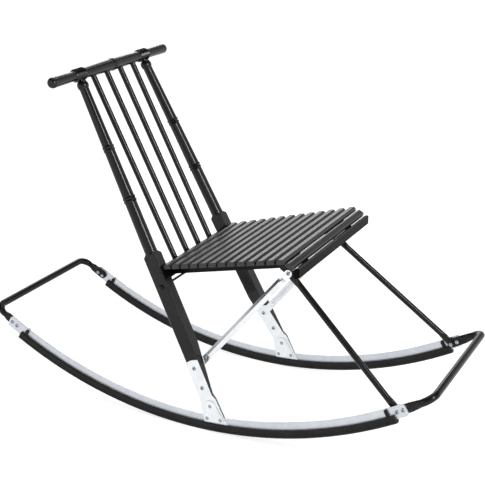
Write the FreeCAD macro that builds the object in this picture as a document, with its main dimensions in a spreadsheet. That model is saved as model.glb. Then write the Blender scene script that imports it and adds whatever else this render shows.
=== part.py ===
import FreeCAD, Part
import math
import os
from types import SimpleNamespace

import Sketcher
from FreeCAD import Placement, Rotation, Vector

# Driving sizes in millimetres and degrees: name, value, what it measures.
# X points forward, Y to the sitter's left and Z up. The origin lies on the floor under the middle.
SIZES = (
    ("overall_length", 1266, "length over the front and rear bars"),
    ("track", 424, "between the mid planes of the two rocker bars"),
    ("rocker_radius", 1120, "radius of the running surface"),
    ("rocker_shift", -12.5, "place of the arc's lowest point, forward of the origin"),
    ("bar_thick", 4, "rocker bar thickness"),
    ("bar_height", 32, "rocker bar height"),
    ("bar_rear", 565.5, "from the lowest point back to the bar's rear end"),
    ("bar_front", 577.5, "from the lowest point forward to the bar's front end"),
    ("bar_round", 9, "corner radius at the bar's ends"),
    ("tread_width", 17, "tread width"),
    ("tread_height", 21, "tread height"),
    ("tread_wall", 9, "tread depth under the rocker bar"),
    ("tread_chamfer", 3, "chamfer of the tread's lower edges"),
    ("tread_line", 1.4, "depth of the moulded line along the tread's sides"),
    ("tread_rear", 526, "from the lowest point back to the tread's rear end"),
    ("tread_front", 548, "from the lowest point forward to the tread's front end"),
    ("lug_length", 8, "length of a tread lug along the arc"),
    ("lug_thick", 4.4, "thickness of a tread lug"),
    ("lug_inset", 15, "from the tread's end to the lug's pin"),
    ("pin_radius", 15, "depth of the pin above the tread's top edge"),
    ("pin_bore", 4, "diameter of the tread pins"),
    ("bolt_margin", 10, "from the bar's end to the outer bar bolt"),
    ("bolt_pitch", 17, "between the two bar bolts"),
    ("bolt_height", 16, "from the bar's upper edge to the bolts"),
    ("tube_bore", 15, "outer diameter of the front and rear bars"),
    ("tube_bend", 30, "bend radius of the front and rear bars"),
    ("tube_wall", 1.5, "wall of the bars and stays"),
    ("blade_thick", 5, "thickness of a flattened bar end"),
    ("blade_height", 23, "height of a flattened bar end"),
    ("blade_tail", 9, "flattened end beyond the inner bolt"),
    ("blade_reach", 10, "flattened end beyond the end of the rocker bar"),
    ("crest_x", -355, "crest rail axis, forward of the origin"),
    ("crest_z", 869, "crest rail axis, above the floor"),
    ("crest_half", 266, "half length of the crest rail"),
    ("crest_tip", 6.5, "radius of the flat on the crest rail's ends"),
    ("crest_grip", 13.6, "handle radius near its end"),
    ("crest_waist", 12.4, "handle radius beside the rings"),
    ("crest_neck", 13.6, "middle span radius beside the rings"),
    ("crest_belly", 15.6, "middle span radius at the middle"),
    ("crest_dome", 10, "length of the rounded end"),
    ("dome_rise", 2, "bulge of the rounded end"),
    ("ring_pitch", 8, "width of one ring bead"),
    ("ring_base", 13.8, "radius between the ring beads"),
    ("ring_rise", 3.2, "height of a ring bead"),
    ("post_spread", 147.6, "half distance between the posts at the crest rail"),
    ("rake", 26.77, "backward lean of the posts"),
    ("splay", 3.26, "sideways lean of the posts"),
    ("post_tenon", 8, "radius of the post's tenon"),
    ("post_neck", 11, "radius of the post under the crest rail"),
    ("post_collar", 14.4, "radius of the post's collar"),
    ("post_top", 12.1, "radius of the post under the collar"),
    ("post_bead", 14.1, "radius of the post at the upper beads"),
    ("post_swell", 15.6, "radius of the post at the lower beads"),
    ("post_foot", 16.4, "radius of the post at the square shoulder"),
    ("bead_upper", 198, "from the crest axis down to the upper beads"),
    ("bead_lower", 335, "from the crest axis down to the lower beads"),
    ("bead_width", 8, "width of one post bead"),
    ("bead_rise", 2.2, "height of a post bead"),
    ("collar_height", 20, "height of the post's collar"),
    ("shoulder", 479, "from the crest axis down to the square leg"),
    ("pommel", 15, "length of the coned shoulder of the square leg"),
    ("pommel_lean", 41, "lean of the coned shoulder from the post's axis"),
    ("leg_depth", 37, "square leg, fore and aft"),
    ("leg_width", 34, "square leg, side to side"),
    ("leg_chamfer", 2, "chamfer on the square leg's long edges"),
    ("leg_gap", 60, "between the leg's tip and the rocker bar, along the leg"),
    ("wedge_length", 146, "length of the wedge that the leg ends in"),
    ("spindle_bore", 15, "spindle diameter"),
    ("spindle_inner", 31, "inner spindles from the middle"),
    ("spindle_outer", 92, "outer spindles from the middle"),
    ("spindle_sink", 12, "depth of a spindle in the rear rail"),
    ("back_rail_drop", 541, "from the crest axis down to the rear rail's middle"),
    ("back_rail_height", 32, "rear rail height along the posts"),
    ("back_rail_depth", 26, "rear rail depth"),
    ("tenon_depth", 12, "thickness of the rear rail's tenons"),
    ("tenon_height", 22, "height of the rear rail's tenons"),
    ("tenon_length", 12, "length of the rear rail's tenons"),
    ("seat_x", -91.8, "middle of the first slat's top, forward of the origin"),
    ("seat_z", 419.3, "middle of the first slat's top, above the floor"),
    ("seat_pitch", 14.28, "backward slope of the seat"),
    ("slat_width", 21.5, "slat width"),
    ("slat_thick", 12, "slat thickness"),
    ("slat_round", 7, "rounding of a slat's upper edges"),
    ("slat_pitch", 28.6, "distance from slat to slat"),
    ("slat_rear", 184, "half length of the rear slat"),
    ("slat_front", 222, "half length of the front slat"),
    ("nosing_x", 269, "middle of the nosing's top, forward of the origin"),
    ("nosing_z", 496.5, "middle of the nosing's top, above the floor"),
    ("nosing_pitch", -27, "forward slope of the nosing"),
    ("nosing_step", 12.9, "from the nosing's middle back to the step in the side rails"),
    ("nosing_bearing", 11.8, "from the nosing's middle to the front end of its bearing"),
    ("front_rail_x", 291, "front face of the front rail"),
    ("front_rail_z", 465.5, "lower edge of the front rail"),
    ("front_rail_height", 22.5, "front rail height"),
    ("front_rail_flat", 4.5, "front rail, depth of the square front part"),
    ("front_rail_half", 219, "half length of the front rail"),
    ("side_rail_inner", 130, "inner face of the side rails from the middle"),
    ("side_rail_thick", 12, "side rail thickness"),
    ("side_rail_rear", 25, "side rail height at its rear end"),
    ("side_rail_front", 34, "side rail height at its front end"),
    ("bracket_thick", 3, "seat bracket thickness"),
    ("bracket_width", 44, "seat bracket width on the side rail"),
    ("bracket_height", 24, "seat bracket height on the side rail"),
    ("bracket_round", 11, "radius round the seat bolt"),
    ("bracket_hole_rise", 13.2, "bracket screws above the side rail's lower edge"),
    ("bracket_hole_reach", 13.2, "bracket screws fore and aft of the seat bolt"),
    ("seat_bolt_x", 230.5, "seat bolt, forward of the origin"),
    ("seat_bolt_z", 442.5, "seat bolt, above the floor"),
    ("stay_bore", 12, "stay diameter"),
    ("stay_thick", 4, "thickness of a stay's flattened ends"),
    ("stay_height", 16, "height of a stay's flattened ends"),
    ("stay_flat", 22, "length of a stay's flattened end beyond its bolt"),
    ("stay_turn", 18, "length of a stay's change from flat to round"),
    ("strut_thick", 2, "strut sheet thickness"),
    ("strut_web", 19, "strut width"),
    ("strut_ridge", 7, "how far the strut's ridge stands out of its flat ends"),
    ("strut_lower_flat", 30, "strut's flat end beyond the leg bolt"),
    ("strut_upper_flat", 34, "from the seat bolt to the start of the strut's twist"),
    ("strut_twist", 14, "length of the strut's change from flat to angled"),
    ("plate_thick", 2, "shoe plate thickness"),
    ("strap_length", 94, "from the shoe plates' upper edge down to the leg's tip"),
    ("plate_arch", 3, "arch of the shoe plates' upper edge"),
    ("upper_bolt_rise", 74, "upper leg bolt above the leg's tip"),
    ("lower_bolt_rise", 20, "lower leg bolt above the leg's tip"),
    ("foot_front", 24, "shoe foot in front of the leg's axis"),
    ("foot_rear", 36, "shoe foot behind the leg's axis, at the tread"),
    ("foot_shoulder", 12, "drop of the shoe foot's front shoulder"),
    ("foot_neck", 2, "from the leg's tip down to where the shoe spreads"),
    ("foot_gap", 1, "between the shoe plates and the tread"),
    ("foot_bolt_drop", 30, "shoe bolt below the leg's tip"),
    ("rivet_depth", 7, "from the bar's upper edge to the shoe rivets"),
    ("rivet_rear", 52, "from the lowest point forward to the rear shoe rivet"),
    ("rivet_front", 90, "from the lowest point forward to the front shoe rivet"),
    ("rivet_bore", 6, "shoe rivet diameter"),
    ("rod_bore", 6, "tie rod diameter"),
    ("rod_drop", 570, "from the crest axis down to the tie rod"),
    ("rod_grip", 3.2, "length of the tie rod inside a nut"),
    ("rod_nut_radius", 7.5, "radius of the tie rod's cap nuts"),
    ("rod_nut_height", 5.5, "height of the tie rod's cap nuts"),
    ("screw_bore", 6, "diameter of the bolts"),
    ("wood_screw", 4, "diameter of the bracket screws"),
    ("wood_screw_length", 9, "length of the bracket screws in the side rail"),
    ("wood_screw_head", 3.8, "radius of the bracket screws' heads"),
    ("wood_screw_rise", 1.6, "height of the bracket screws' heads"),
    ("head_radius", 5.4, "radius of the fastener heads"),
    ("head_height", 2.6, "height of the fastener heads"),
    ("nut_radius", 5.6, "radius over the corners of the nuts"),
    ("nut_height", 4.6, "height of the nuts"),
    ("bolt_tail", 1, "length of a bolt beyond its nut"),
    ("fit_gap", 0.15, "clearance round a piece in its hole or slot"),
    ("slant_gap", 0.5, "clearance round a bolt in a hole that it passes at a slant"),
)

SIDES = (("left", 1), ("right", -1))
SLATS = 13
RINGS = 5
POST_BEADS = 2
BUTTON_SIDES = 12
BORE_SIDES = 8
NUT_SIDES = 6
QUARTER_RISE = 1 - math.cos(math.pi / 4)
Y_AXIS = Vector(0, 1, 0)
X_AXIS = Vector(1, 0, 0)
Z_AXIS = Vector(0, 0, 1)


class Size:
    """A number that keeps the sheet formula it came from."""

    def __init__(self, value, formula):
        self.value = value
        self.formula = formula

    def __float__(self):
        return self.value

    def __neg__(self):
        return Size(-self.value, f"-({self.formula})")

    def __add__(self, other):
        return Size(self.value + float(other), f"({self.formula} + {formula(other)})")

    def __radd__(self, other):
        return Size(float(other) + self.value, f"({formula(other)} + {self.formula})")

    def __sub__(self, other):
        return Size(self.value - float(other), f"({self.formula} - {formula(other)})")

    def __rsub__(self, other):
        return Size(float(other) - self.value, f"({formula(other)} - {self.formula})")

    def __mul__(self, other):
        return Size(self.value * float(other), f"{self.formula} * {formula(other)}")

    def __rmul__(self, other):
        return Size(float(other) * self.value, f"{formula(other)} * {self.formula}")

    def __truediv__(self, other):
        return Size(self.value / float(other), f"{self.formula} / ({formula(other)})")


def formula(size):
    """Text of a size for the sheet's formulas."""
    return size.formula if isinstance(size, Size) else f"({float(size)!r})"


doc = FreeCAD.newDocument("RockingChair")
sheet = doc.addObject("Spreadsheet::Sheet", "Sizes")
for row, (alias, value, note) in enumerate(SIZES, 1):
    sheet.set(f"A{row}", note)
    sheet.set(f"B{row}", str(value))
    sheet.setAlias(f"B{row}", alias)
doc.recompute()
S = SimpleNamespace(**{alias: Size(float(sheet.get(alias)), f"Sizes.{alias}") for alias, _, _ in SIZES})
nodes = []


# Sketches and features

def bind(thing, prop, size):
    """Set a length or an angle and tie it to its sheet formula."""
    setattr(thing, prop, float(size))
    if isinstance(size, Size):
        thing.setExpression(prop, size.formula)


def new_body(name, placement=None):
    body = doc.addObject("PartDesign::Body", name)
    body.Placement = placement or Placement()
    return body


def new_sketch(body, name, plane, offset=None):
    """Empty sketch on one of the body's own planes, moved by an offset within that plane's frame."""
    sketch = body.newObject("Sketcher::SketchObject", f"{body.Name}_{name}")
    role = next(item for item in body.Origin.OriginFeatures if item.Role == plane)
    sketch.AttachmentSupport = (role, [""])
    sketch.MapMode = "FlatFace"
    sketch.AttachmentOffset = offset or Placement()
    return sketch


def pin_point(sketch, rules, sizes, where, x, y):
    """Hold a sketch point at two sizes measured from the sketch's origin."""
    for kind, axis, size in (("DistanceX", -2, x), ("DistanceY", -1, y)):
        if abs(float(size)) < 1e-9:
            rules.append(Sketcher.Constraint("PointOnObject", *where, axis))
            continue
        ends = (-1, 1, *where)
        if float(size) < 0:
            ends = (*where, -1, 1)
            size = -size
        if isinstance(size, Size):
            sizes[len(rules)] = size
        rules.append(Sketcher.Constraint(kind, *ends, float(size)))


def apply_rules(sketch, rules, sizes):
    first = sketch.ConstraintCount
    sketch.addConstraint(rules)
    for index, size in sizes.items():
        sketch.setExpression(f"Constraints[{first + index}]", size.formula)


def halved(outline):
    """The outline with each half circle in it drawn as two quarters."""
    points = []
    for k, point in enumerate(outline):
        points.append(point)
        if len(point) == 2:
            continue
        x0, y0, rise = point
        x1, y1 = outline[(k + 1) % len(outline)][:2]
        chord = Vector(float(x1) - float(x0), float(y1) - float(y0), 0)
        if abs(float(rise)) > 0.45 * chord.Length:
            left = Z_AXIS.cross(chord).normalize()
            points[-1] = (x0, y0, rise * QUARTER_RISE)
            top = ((x0 + x1) / 2 + rise * left.x, (y0 + y1) / 2 + rise * left.y)
            points.append((*top, rise * QUARTER_RISE))
    return points


def draw(sketch, outline, closed=True):
    """Lines and arcs through the outline's points. A point's third entry is the rise, to the left
    of the way on, of an arc that starts there."""
    outline = halved(outline)
    rules = []
    sizes = {}
    ends = []
    spans = len(outline) if closed else len(outline) - 1
    for k in range(spans):
        x0, y0 = outline[k][:2]
        x1, y1 = outline[(k + 1) % len(outline)][:2]
        start = Vector(float(x0), float(y0), 0)
        end = Vector(float(x1), float(y1), 0)
        if len(outline[k]) == 2:
            ends.append(((sketch.addGeometry(Part.LineSegment(start, end)), 1), 2))
            continue
        rise = outline[k][2]
        left = Z_AXIS.cross(end - start).normalize()
        middle = (start + end) / 2 + left * float(rise)
        if float(rise) > 0:
            index = sketch.addGeometry(Part.Arc(end, middle, start))
            ends.append(((index, 2), 1))
            bulge = rise
        else:
            index = sketch.addGeometry(Part.Arc(start, middle, end))
            ends.append(((index, 1), 2))
            bulge = -rise
        run = x1 - x0
        climb = y1 - y0
        radius = ((run * run + climb * climb) / 4 + bulge * bulge) / (2 * bulge)
        if isinstance(radius, Size):
            sizes[len(rules)] = radius
        rules.append(Sketcher.Constraint("Radius", index, float(radius)))
    for k, ((index, first), last) in enumerate(ends):
        pin_point(sketch, rules, sizes, (index, first), *outline[k][:2])
        if closed or k < spans - 1:
            rules.append(Sketcher.Constraint("Coincident", index, last, *ends[(k + 1) % spans][0]))
        else:
            pin_point(sketch, rules, sizes, (index, last), *outline[-1][:2])
    apply_rules(sketch, rules, sizes)
    return sketch


def draw_circles(sketch, circles):
    """Circles given as x, y and radius."""
    for x, y, radius in circles:
        rules = []
        sizes = {}
        index = sketch.addGeometry(Part.Circle(Vector(float(x), float(y), 0), Z_AXIS, float(radius)))
        pin_point(sketch, rules, sizes, (index, 3), x, y)
        if isinstance(radius, Size):
            sizes[len(rules)] = radius
        rules.append(Sketcher.Constraint("Radius", index, float(radius)))
        apply_rules(sketch, rules, sizes)
    return sketch


def pad(body, sketch, length, symmetric=True):
    feature = body.newObject("PartDesign::Pad", sketch.Name + "_pad")
    feature.Profile = sketch
    feature.SideType = "Symmetric" if symmetric else "One side"
    bind(feature, "Length", length)
    return feature


def pocket(body, sketch, length):
    """Cut a sketch out of a body, half the length to each side."""
    feature = body.newObject("PartDesign::Pocket", sketch.Name + "_pocket")
    feature.Profile = sketch
    feature.SideType = "Symmetric"
    bind(feature, "Length", length)
    return feature


def revolve(body, sketch, angle=360, kind="PartDesign::Revolution"):
    """Turn a sketch about its upright axis, half the angle to each side."""
    feature = body.newObject(kind, sketch.Name + "_turned")
    feature.Profile = sketch
    feature.ReferenceAxis = (sketch, ["V_Axis"])
    feature.Midplane = True
    bind(feature, "Angle", angle)
    return feature


def loft(body, first, second):
    feature = body.newObject("PartDesign::AdditiveLoft", first.Name + "_loft")
    feature.Profile = first
    feature.Sections = [second]
    feature.Ruled = True
    return feature


def dress(body, kind, feature, names, size):
    """Fillet or chamfer on named edges or faces of a feature."""
    edge_break = body.newObject(f"PartDesign::{kind}", f"{body.Name}_{kind}")
    edge_break.Base = (feature, names)
    bind(edge_break, "Radius" if kind == "Fillet" else "Size", size)
    return edge_break


def edges_along(shape, direction):
    """Names of the straight edges that run along a direction."""
    names = []
    for index, edge in enumerate(shape.Edges, 1):
        if edge.Curve.TypeId == "Part::GeomLine" and edge.Curve.Direction.cross(direction).Length < 1e-6:
            names.append(f"Edge{index}")
    return names


def cylinder(name, base, direction, radius, height):
    rod = doc.addObject("Part::Cylinder", name)
    bind(rod, "Radius", radius)
    bind(rod, "Height", height)
    rod.Placement = Placement(base, Rotation(Z_AXIS, direction))
    return rod


def cut(name, blank, tools):
    """A blank less its tools, under the node's own name."""
    blank.Label = name + "_blank"
    holes = doc.addObject("Part::Compound", name + "_tools")
    holes.Links = tools
    result = doc.addObject("Part::Cut", name)
    result.Base = blank
    result.Tool = holes
    return result


def keep(name, piece):
    """Name a finished piece and put it on the list that is written out."""
    piece.Label = name
    nodes.append(piece)
    return piece


def group(name, pieces):
    """Separate like solids under one name."""
    bundle = doc.addObject("Part::Compound", name)
    bundle.Links = pieces
    return keep(name, bundle)


def rectangle(x0, x1, y0, y1):
    return [(x0, y0), (x0, y1), (x1, y1), (x1, y0)]


def ring_of(radius):
    """Hidden bore of a tube, drawn with few sides."""
    turns = [2 * math.pi * k / BORE_SIDES for k in range(BORE_SIDES)]
    return [(radius * math.cos(turn), radius * math.sin(turn)) for turn in turns]


def beads(radius, start, width, count, rise):
    """Ridges down a turned piece, from start downwards."""
    points = [(radius, start)]
    for k in range(count):
        points.append((radius + rise, start - width * (k + 0.5)))
        points.append((radius, start - width * (k + 1)))
    return points


# Frames that the pieces share

def pitch(degrees):
    """Turn that lifts the front end by an angle."""
    return Rotation(Y_AXIS, -float(degrees))


BACK = Placement(Vector(float(S.crest_x), 0, float(S.crest_z)), pitch(S.rake))
SEAT = Placement(Vector(float(S.seat_x), 0, float(S.seat_z)), pitch(S.seat_pitch))
NOSING = Placement(Vector(float(S.nosing_x), 0, float(S.nosing_z)), pitch(S.nosing_pitch))
BAR_OUTER = S.track / 2 + S.bar_thick / 2
BAR_INNER = S.track / 2 - S.bar_thick / 2
TREAD_TOP = S.rocker_radius - S.tread_height
BAR_LOW = S.rocker_radius - S.tread_wall
BAR_TOP = BAR_LOW - S.bar_height
BOLT_RING = BAR_TOP + S.bolt_height
RIVET_RING = BAR_TOP + S.rivet_depth
PIN_RING = TREAD_TOP - S.pin_radius
RAIL_OUTER = S.side_rail_inner + S.side_rail_thick
STAY_SEAT = RAIL_OUTER + S.bracket_thick
STRUT_SEAT = STAY_SEAT + S.stay_thick
SEAT_BOLT = Vector(float(S.seat_bolt_x), 0, float(S.seat_bolt_z))


def angle_at(reach, radius):
    """Angle from the lowest point of a rocker to a place on an arc, from its reach along the floor."""
    degrees = math.degrees(math.asin(float(reach) / float(radius)))
    return Size(degrees, f"asin({reach.formula} / ({radius.formula}))")


BAR_REAR = angle_at(S.bar_rear, BOLT_RING)
BAR_FRONT = angle_at(S.bar_front, BOLT_RING)
TREAD_REAR = angle_at(S.tread_rear, TREAD_TOP)
TREAD_FRONT = angle_at(S.tread_front, TREAD_TOP)
RIVETS = (angle_at(S.rivet_rear, RIVET_RING), angle_at(S.rivet_front, RIVET_RING))


def leg_length():
    """From the crest axis down a leg to its tip, which stays clear of the rocker bar by the leg's gap."""
    forward = S.crest_x - S.rocker_shift
    above = S.crest_z - S.rocker_radius
    sine = Size(math.sin(math.radians(float(S.rake))), f"sin({S.rake.formula})")
    cosine = Size(math.cos(math.radians(float(S.rake))), f"cos({S.rake.formula})")
    nearest = forward * sine - above * cosine
    square = nearest * nearest - forward * forward - above * above + BAR_TOP * BAR_TOP
    reach = Size(math.sqrt(float(square)), f"sqrt({square.formula})") - nearest
    lean = Size(math.cos(math.radians(float(S.splay))), f"cos({S.splay.formula})")
    return reach / lean - S.leg_gap


LEG_END = leg_length()
WEDGE_START = LEG_END - S.wedge_length
PLATE_TOP = LEG_END - S.strap_length
LEG_BOLTS = (LEG_END - S.upper_bolt_rise, LEG_END - S.lower_bolt_rise)


def post_frame(side):
    """Crest end of a post, with Z up the post and X forward."""
    sideways = Placement(Y_AXIS * side * float(S.post_spread), Rotation(X_AXIS, side * float(S.splay)))
    return BACK.multiply(sideways)


def rocker_frame(side):
    """Centre of a rocker's arc, with X down to the lowest point and Z forward."""
    centre = Vector(float(S.rocker_shift), side * float(S.track) / 2, float(S.rocker_radius))
    return Placement(centre, Rotation(Y_AXIS, 90))


def on_arc(radius, degrees):
    """Sketch point of a rocker at a radius and an angle forward of the lowest point."""
    angle = math.radians(float(degrees))
    return float(radius) * math.cos(angle), float(radius) * math.sin(angle)


def arc_point(radius, degrees):
    """Point at a radius and an angle of the rocker's arc, in the chair's middle plane."""
    down, forward = on_arc(radius, degrees)
    return Vector(float(S.rocker_shift) + forward, 0, float(S.rocker_radius) - down)


def arc_degrees(length, radius):
    return math.degrees(float(length) / float(radius))


def back_point(piece_frame, point):
    """Sideways place and depth below the crest axis of a point given in a piece's frame."""
    local = BACK.inverse().multVec(piece_frame.multVec(point))
    return local.y, -local.z


def lateral_on(line, drop):
    """Sideways place, at a depth below the crest axis, of a line through two such places."""
    (y0, q0), (y1, q1) = line
    return y0 + (y1 - y0) * (drop - q0) / (q1 - q0)


def bolt_angles(end):
    """Angles of the outer and the inner bar bolt, from the angle of the bar's end."""
    outer = float(end) - arc_degrees(S.bolt_margin, BOLT_RING)
    return outer, outer - arc_degrees(S.bolt_pitch, BOLT_RING)


REAR_BOLTS = [-angle for angle in bolt_angles(BAR_REAR)]
FRONT_BOLTS = list(bolt_angles(BAR_FRONT))
PIN_ANGLES = (
    arc_degrees(S.lug_inset, PIN_RING) - float(TREAD_REAR),
    float(TREAD_FRONT) - arc_degrees(S.lug_inset, PIN_RING),
)
STAY_BOLT = arc_point(BOLT_RING, FRONT_BOLTS[1])
LEFT_POST = post_frame(1)


def wedge_line():
    """Wedge face of the left leg, on the plane that lets the strut run flat from the shoe to the seat bolt.

    The face holds the fore and aft direction of the leg, so two points in a section fix it: its upper
    edge, and the seat bolt's place moved outward by the sheets between them."""
    edge = back_point(LEFT_POST, Vector(0, -float(S.leg_width / 2), -float(WEDGE_START)))
    bolt = BACK.inverse().multVec(SEAT_BOLT)
    sheets = float(S.plate_thick + S.strut_thick / 2)
    tab = float(STRUT_SEAT + S.strut_thick / 2)
    reach = math.hypot(edge[0] - tab, edge[1] + bolt.z)
    lean = math.atan2(edge[0] - tab, edge[1] + bolt.z) - math.asin(sheets / reach)
    run = float(S.wedge_length)
    return (edge, (edge[0] + run * math.tan(lean), edge[1] + run)), lean


WEDGE, WEDGE_LEAN = wedge_line()


def wedge_offset(distance):
    """Wedge face moved inward by a distance."""
    shift = float(distance) / math.cos(WEDGE_LEAN)
    return [(y - shift, q) for y, q in WEDGE]


# Turned and sawn wood of the back

def crest_rail():
    """Turned rail with a ring group over each post, a belly between them and a handle at each end."""
    blank = new_body("crest_rail", Placement(BACK.Base, Rotation()))
    ring_top = S.post_spread + S.ring_pitch * (RINGS / 2)
    ring_end = S.post_spread - S.ring_pitch * (RINGS / 2)
    groove = S.ring_pitch / 4
    half = [
        (0, S.crest_half),
        (S.crest_tip, S.crest_half, S.dome_rise),
        (S.crest_grip, S.crest_half - S.crest_dome),
        (S.crest_waist, ring_top + groove),
        *beads(S.ring_base, ring_top, S.ring_pitch, RINGS, S.ring_rise),
        (S.crest_neck, ring_end - groove),
        (S.crest_belly, S.ring_pitch),
        (S.crest_belly - groove / 2, S.ring_pitch - groove),
        (S.crest_belly - groove / 2, S.ring_pitch / 2),
    ]
    middle = (S.crest_belly + groove / 2, 0)
    mirrored = []
    for k in range(len(half) - 2, -1, -1):
        radius, place = half[k + 1][:2]
        mirrored.append((radius, -place, *half[k][2:]))
    outline = half + [middle] + mirrored + [(0, -S.crest_half)]
    revolve(blank, draw(new_sketch(blank, "profile", "XY_Plane"), outline))
    tools = []
    depth = S.ring_base + S.ring_rise + S.post_tenon
    for label, side in SIDES:
        post = post_frame(side)
        up = post.Rotation.multVec(Z_AXIS)
        base = post.multVec(-Z_AXIS * float(depth))
        bore = S.post_tenon + S.fit_gap
        tools.append(cylinder(f"crest_socket_{label}", base, up, bore, depth + S.fit_gap))
    tools += spindle_sockets("crest", depth, depth + S.fit_gap)
    keep("crest_rail", cut("crest_rail", blank, tools))


def spindle_places():
    return (-S.spindle_outer, -S.spindle_inner, S.spindle_inner, S.spindle_outer)


def spindle_sockets(name, drop, length):
    """Bores round the four spindles, from a depth below the crest axis upwards."""
    up = BACK.Rotation.multVec(Z_AXIS)
    bores = []
    for k, place in enumerate(spindle_places(), 1):
        base = BACK.multVec(Vector(0, float(place), -float(drop)))
        bores.append(cylinder(f"{name}_bore_{k}", base, up, S.spindle_bore / 2 + S.fit_gap, length))
    return bores


def spindles():
    """Four straight spindles between the crest rail and the rear rail."""
    drop = S.back_rail_drop - S.back_rail_height / 2 + S.spindle_sink
    up = BACK.Rotation.multVec(Z_AXIS)
    for k, place in enumerate(spindle_places(), 1):
        base = BACK.multVec(Vector(0, float(place), -float(drop)))
        keep(f"spindle_{k}", cylinder(f"spindle_{k}", base, up, S.spindle_bore / 2, drop))


def post_profile():
    """Turned part of a post, from its tenon down into the square leg."""
    lean = S.post_neck * math.tan(math.radians(float(S.splay)))
    neck = S.ring_base + S.ring_rise + S.fit_gap + lean
    collar = neck + S.collar_height
    upper = S.bead_upper - S.bead_width
    lower = S.bead_lower - S.bead_width
    return [
        (0, 0),
        (S.post_tenon, 0),
        (S.post_tenon, -neck),
        (S.post_neck, -neck, S.post_collar - S.post_neck),
        (S.post_top, -collar),
        *beads(S.post_bead, -upper, S.bead_width, POST_BEADS, S.bead_rise),
        *beads(S.post_swell, -lower, S.bead_width, POST_BEADS, S.bead_rise),
        (S.post_foot, -S.shoulder),
        (S.post_foot, -S.shoulder - S.pommel),
        (0, -S.shoulder - S.pommel),
    ]


def leg_section():
    """Square leg with its long edges chamfered."""
    x = S.leg_depth / 2
    y = S.leg_width / 2
    c = S.leg_chamfer
    front = [(c - x, y), (x - c, y), (x, y - c), (x, c - y)]
    return front + [(-along, -across) for along, across in front]


def leg_waste(frame, side):
    """Wood sawn from the inner face, which leaves the wedge down to the tip."""
    inner = S.leg_width / 2
    tip_y, tip_drop = WEDGE[1]
    tip = frame.inverse().multVec(BACK.multVec(Vector(0, side * tip_y, -tip_drop)))
    start = Vector(0, -side * float(inner), -float(WEDGE_START))
    run = (tip - start) * (float(S.wedge_length + S.leg_width) / (start.z - tip.z))
    outside = -side * S.leg_width
    return [
        (-side * inner, -WEDGE_START),
        (start.y + run.y, start.z + run.z),
        (outside, start.z + run.z),
        (outside, -WEDGE_START),
    ]


def posts():
    """Back posts, turned above the seat and square below it, each running on down as a leg."""
    for label, side in SIDES:
        name = f"post_{label}"
        frame = post_frame(side)
        blank = new_body(name, frame)
        revolve(blank, draw(new_sketch(blank, "turned", "XZ_Plane"), post_profile()))
        leg = new_sketch(blank, "leg", "XY_Plane", Placement(-Z_AXIS * float(LEG_END), Rotation()))
        leg.setExpression("AttachmentOffset.Base.z", (-LEG_END).formula)
        pad(blank, draw(leg, leg_section()), LEG_END - S.shoulder, symmetric=False)
        corner = S.leg_depth
        drop = (corner - S.post_foot) / math.tan(math.radians(float(S.pommel_lean)))
        pommel = [(S.post_foot, -S.shoulder), (corner, -S.shoulder), (corner, -S.shoulder - drop)]
        revolve(blank, draw(new_sketch(blank, "pommel", "XZ_Plane"), pommel), kind="PartDesign::Groove")
        pocket(blank, draw(new_sketch(blank, "waste", "YZ_Plane"), leg_waste(frame, side)), S.leg_depth * 2)
        bolts = [(0, -drop, S.screw_bore / 2 + S.fit_gap) for drop in LEG_BOLTS]
        pocket(blank, draw_circles(new_sketch(blank, "bolts", "XZ_Plane"), bolts), S.leg_width * 2)
        rod = frame.multVec(-Z_AXIS * float(S.rod_drop))
        start = Vector(rod.x, rod.y - float(S.leg_width), rod.z)
        bore = cylinder(f"{name}_rod_bore", start, Y_AXIS, S.rod_bore / 2 + S.fit_gap, S.leg_width * 2)
        keep(name, cut(name, blank, [bore, back_rail_mortise(name, side)]))


def leg_inner_line():
    """Inner face of the left leg where the rear rail meets it."""
    inner = float(S.leg_width / 2)
    upper = Vector(0, -inner, -float(S.shoulder))
    lower = Vector(0, -inner, -float(WEDGE_START))
    return back_point(LEFT_POST, upper), back_point(LEFT_POST, lower)


def tenon_end():
    """End of the rear rail's tenons from the middle, measured from the leg's face at mid height."""
    return lateral_on(leg_inner_line(), float(S.back_rail_drop)) + float(S.tenon_length)


def back_rail_mortise(name, side):
    box = doc.addObject("Part::Box", f"{name}_mortise")
    bind(box, "Length", S.tenon_depth + S.fit_gap * 2)
    bind(box, "Width", S.tenon_length * 2)
    bind(box, "Height", S.tenon_height + S.fit_gap * 2)
    far = tenon_end() + float(S.fit_gap)
    near = far - box.Width.Value
    corner = Vector(-box.Length.Value / 2, near if side > 0 else -far,
                    -float(S.back_rail_drop) - box.Height.Value / 2)
    box.Placement = Placement(BACK.multVec(corner), BACK.Rotation)
    return box


def back_rail():
    """Rear seat rail between the legs, its shoulders cut to their slope and its tenons let into them."""
    blank = new_body("seat_rear_rail", BACK)
    top = S.back_rail_drop - S.back_rail_height / 2
    low = S.back_rail_drop + S.back_rail_height / 2
    line = leg_inner_line()
    upper = lateral_on(line, float(top))
    lower = lateral_on(line, float(low))
    board = [(-upper, -top), (upper, -top), (lower, -low), (-lower, -low)]
    pad(blank, draw(new_sketch(blank, "board", "YZ_Plane"), board), S.back_rail_depth)
    end = tenon_end()
    half = S.tenon_height / 2
    bar = rectangle(-end, end, -S.back_rail_drop - half, -S.back_rail_drop + half)
    pad(blank, draw(new_sketch(blank, "tenons", "YZ_Plane"), bar), S.tenon_depth)
    depth = S.spindle_sink + S.fit_gap
    tools = spindle_sockets("back_rail", top + depth, depth * 2)
    keep("seat_rear_rail", cut("seat_rear_rail", blank, tools))


# Seat

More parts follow.
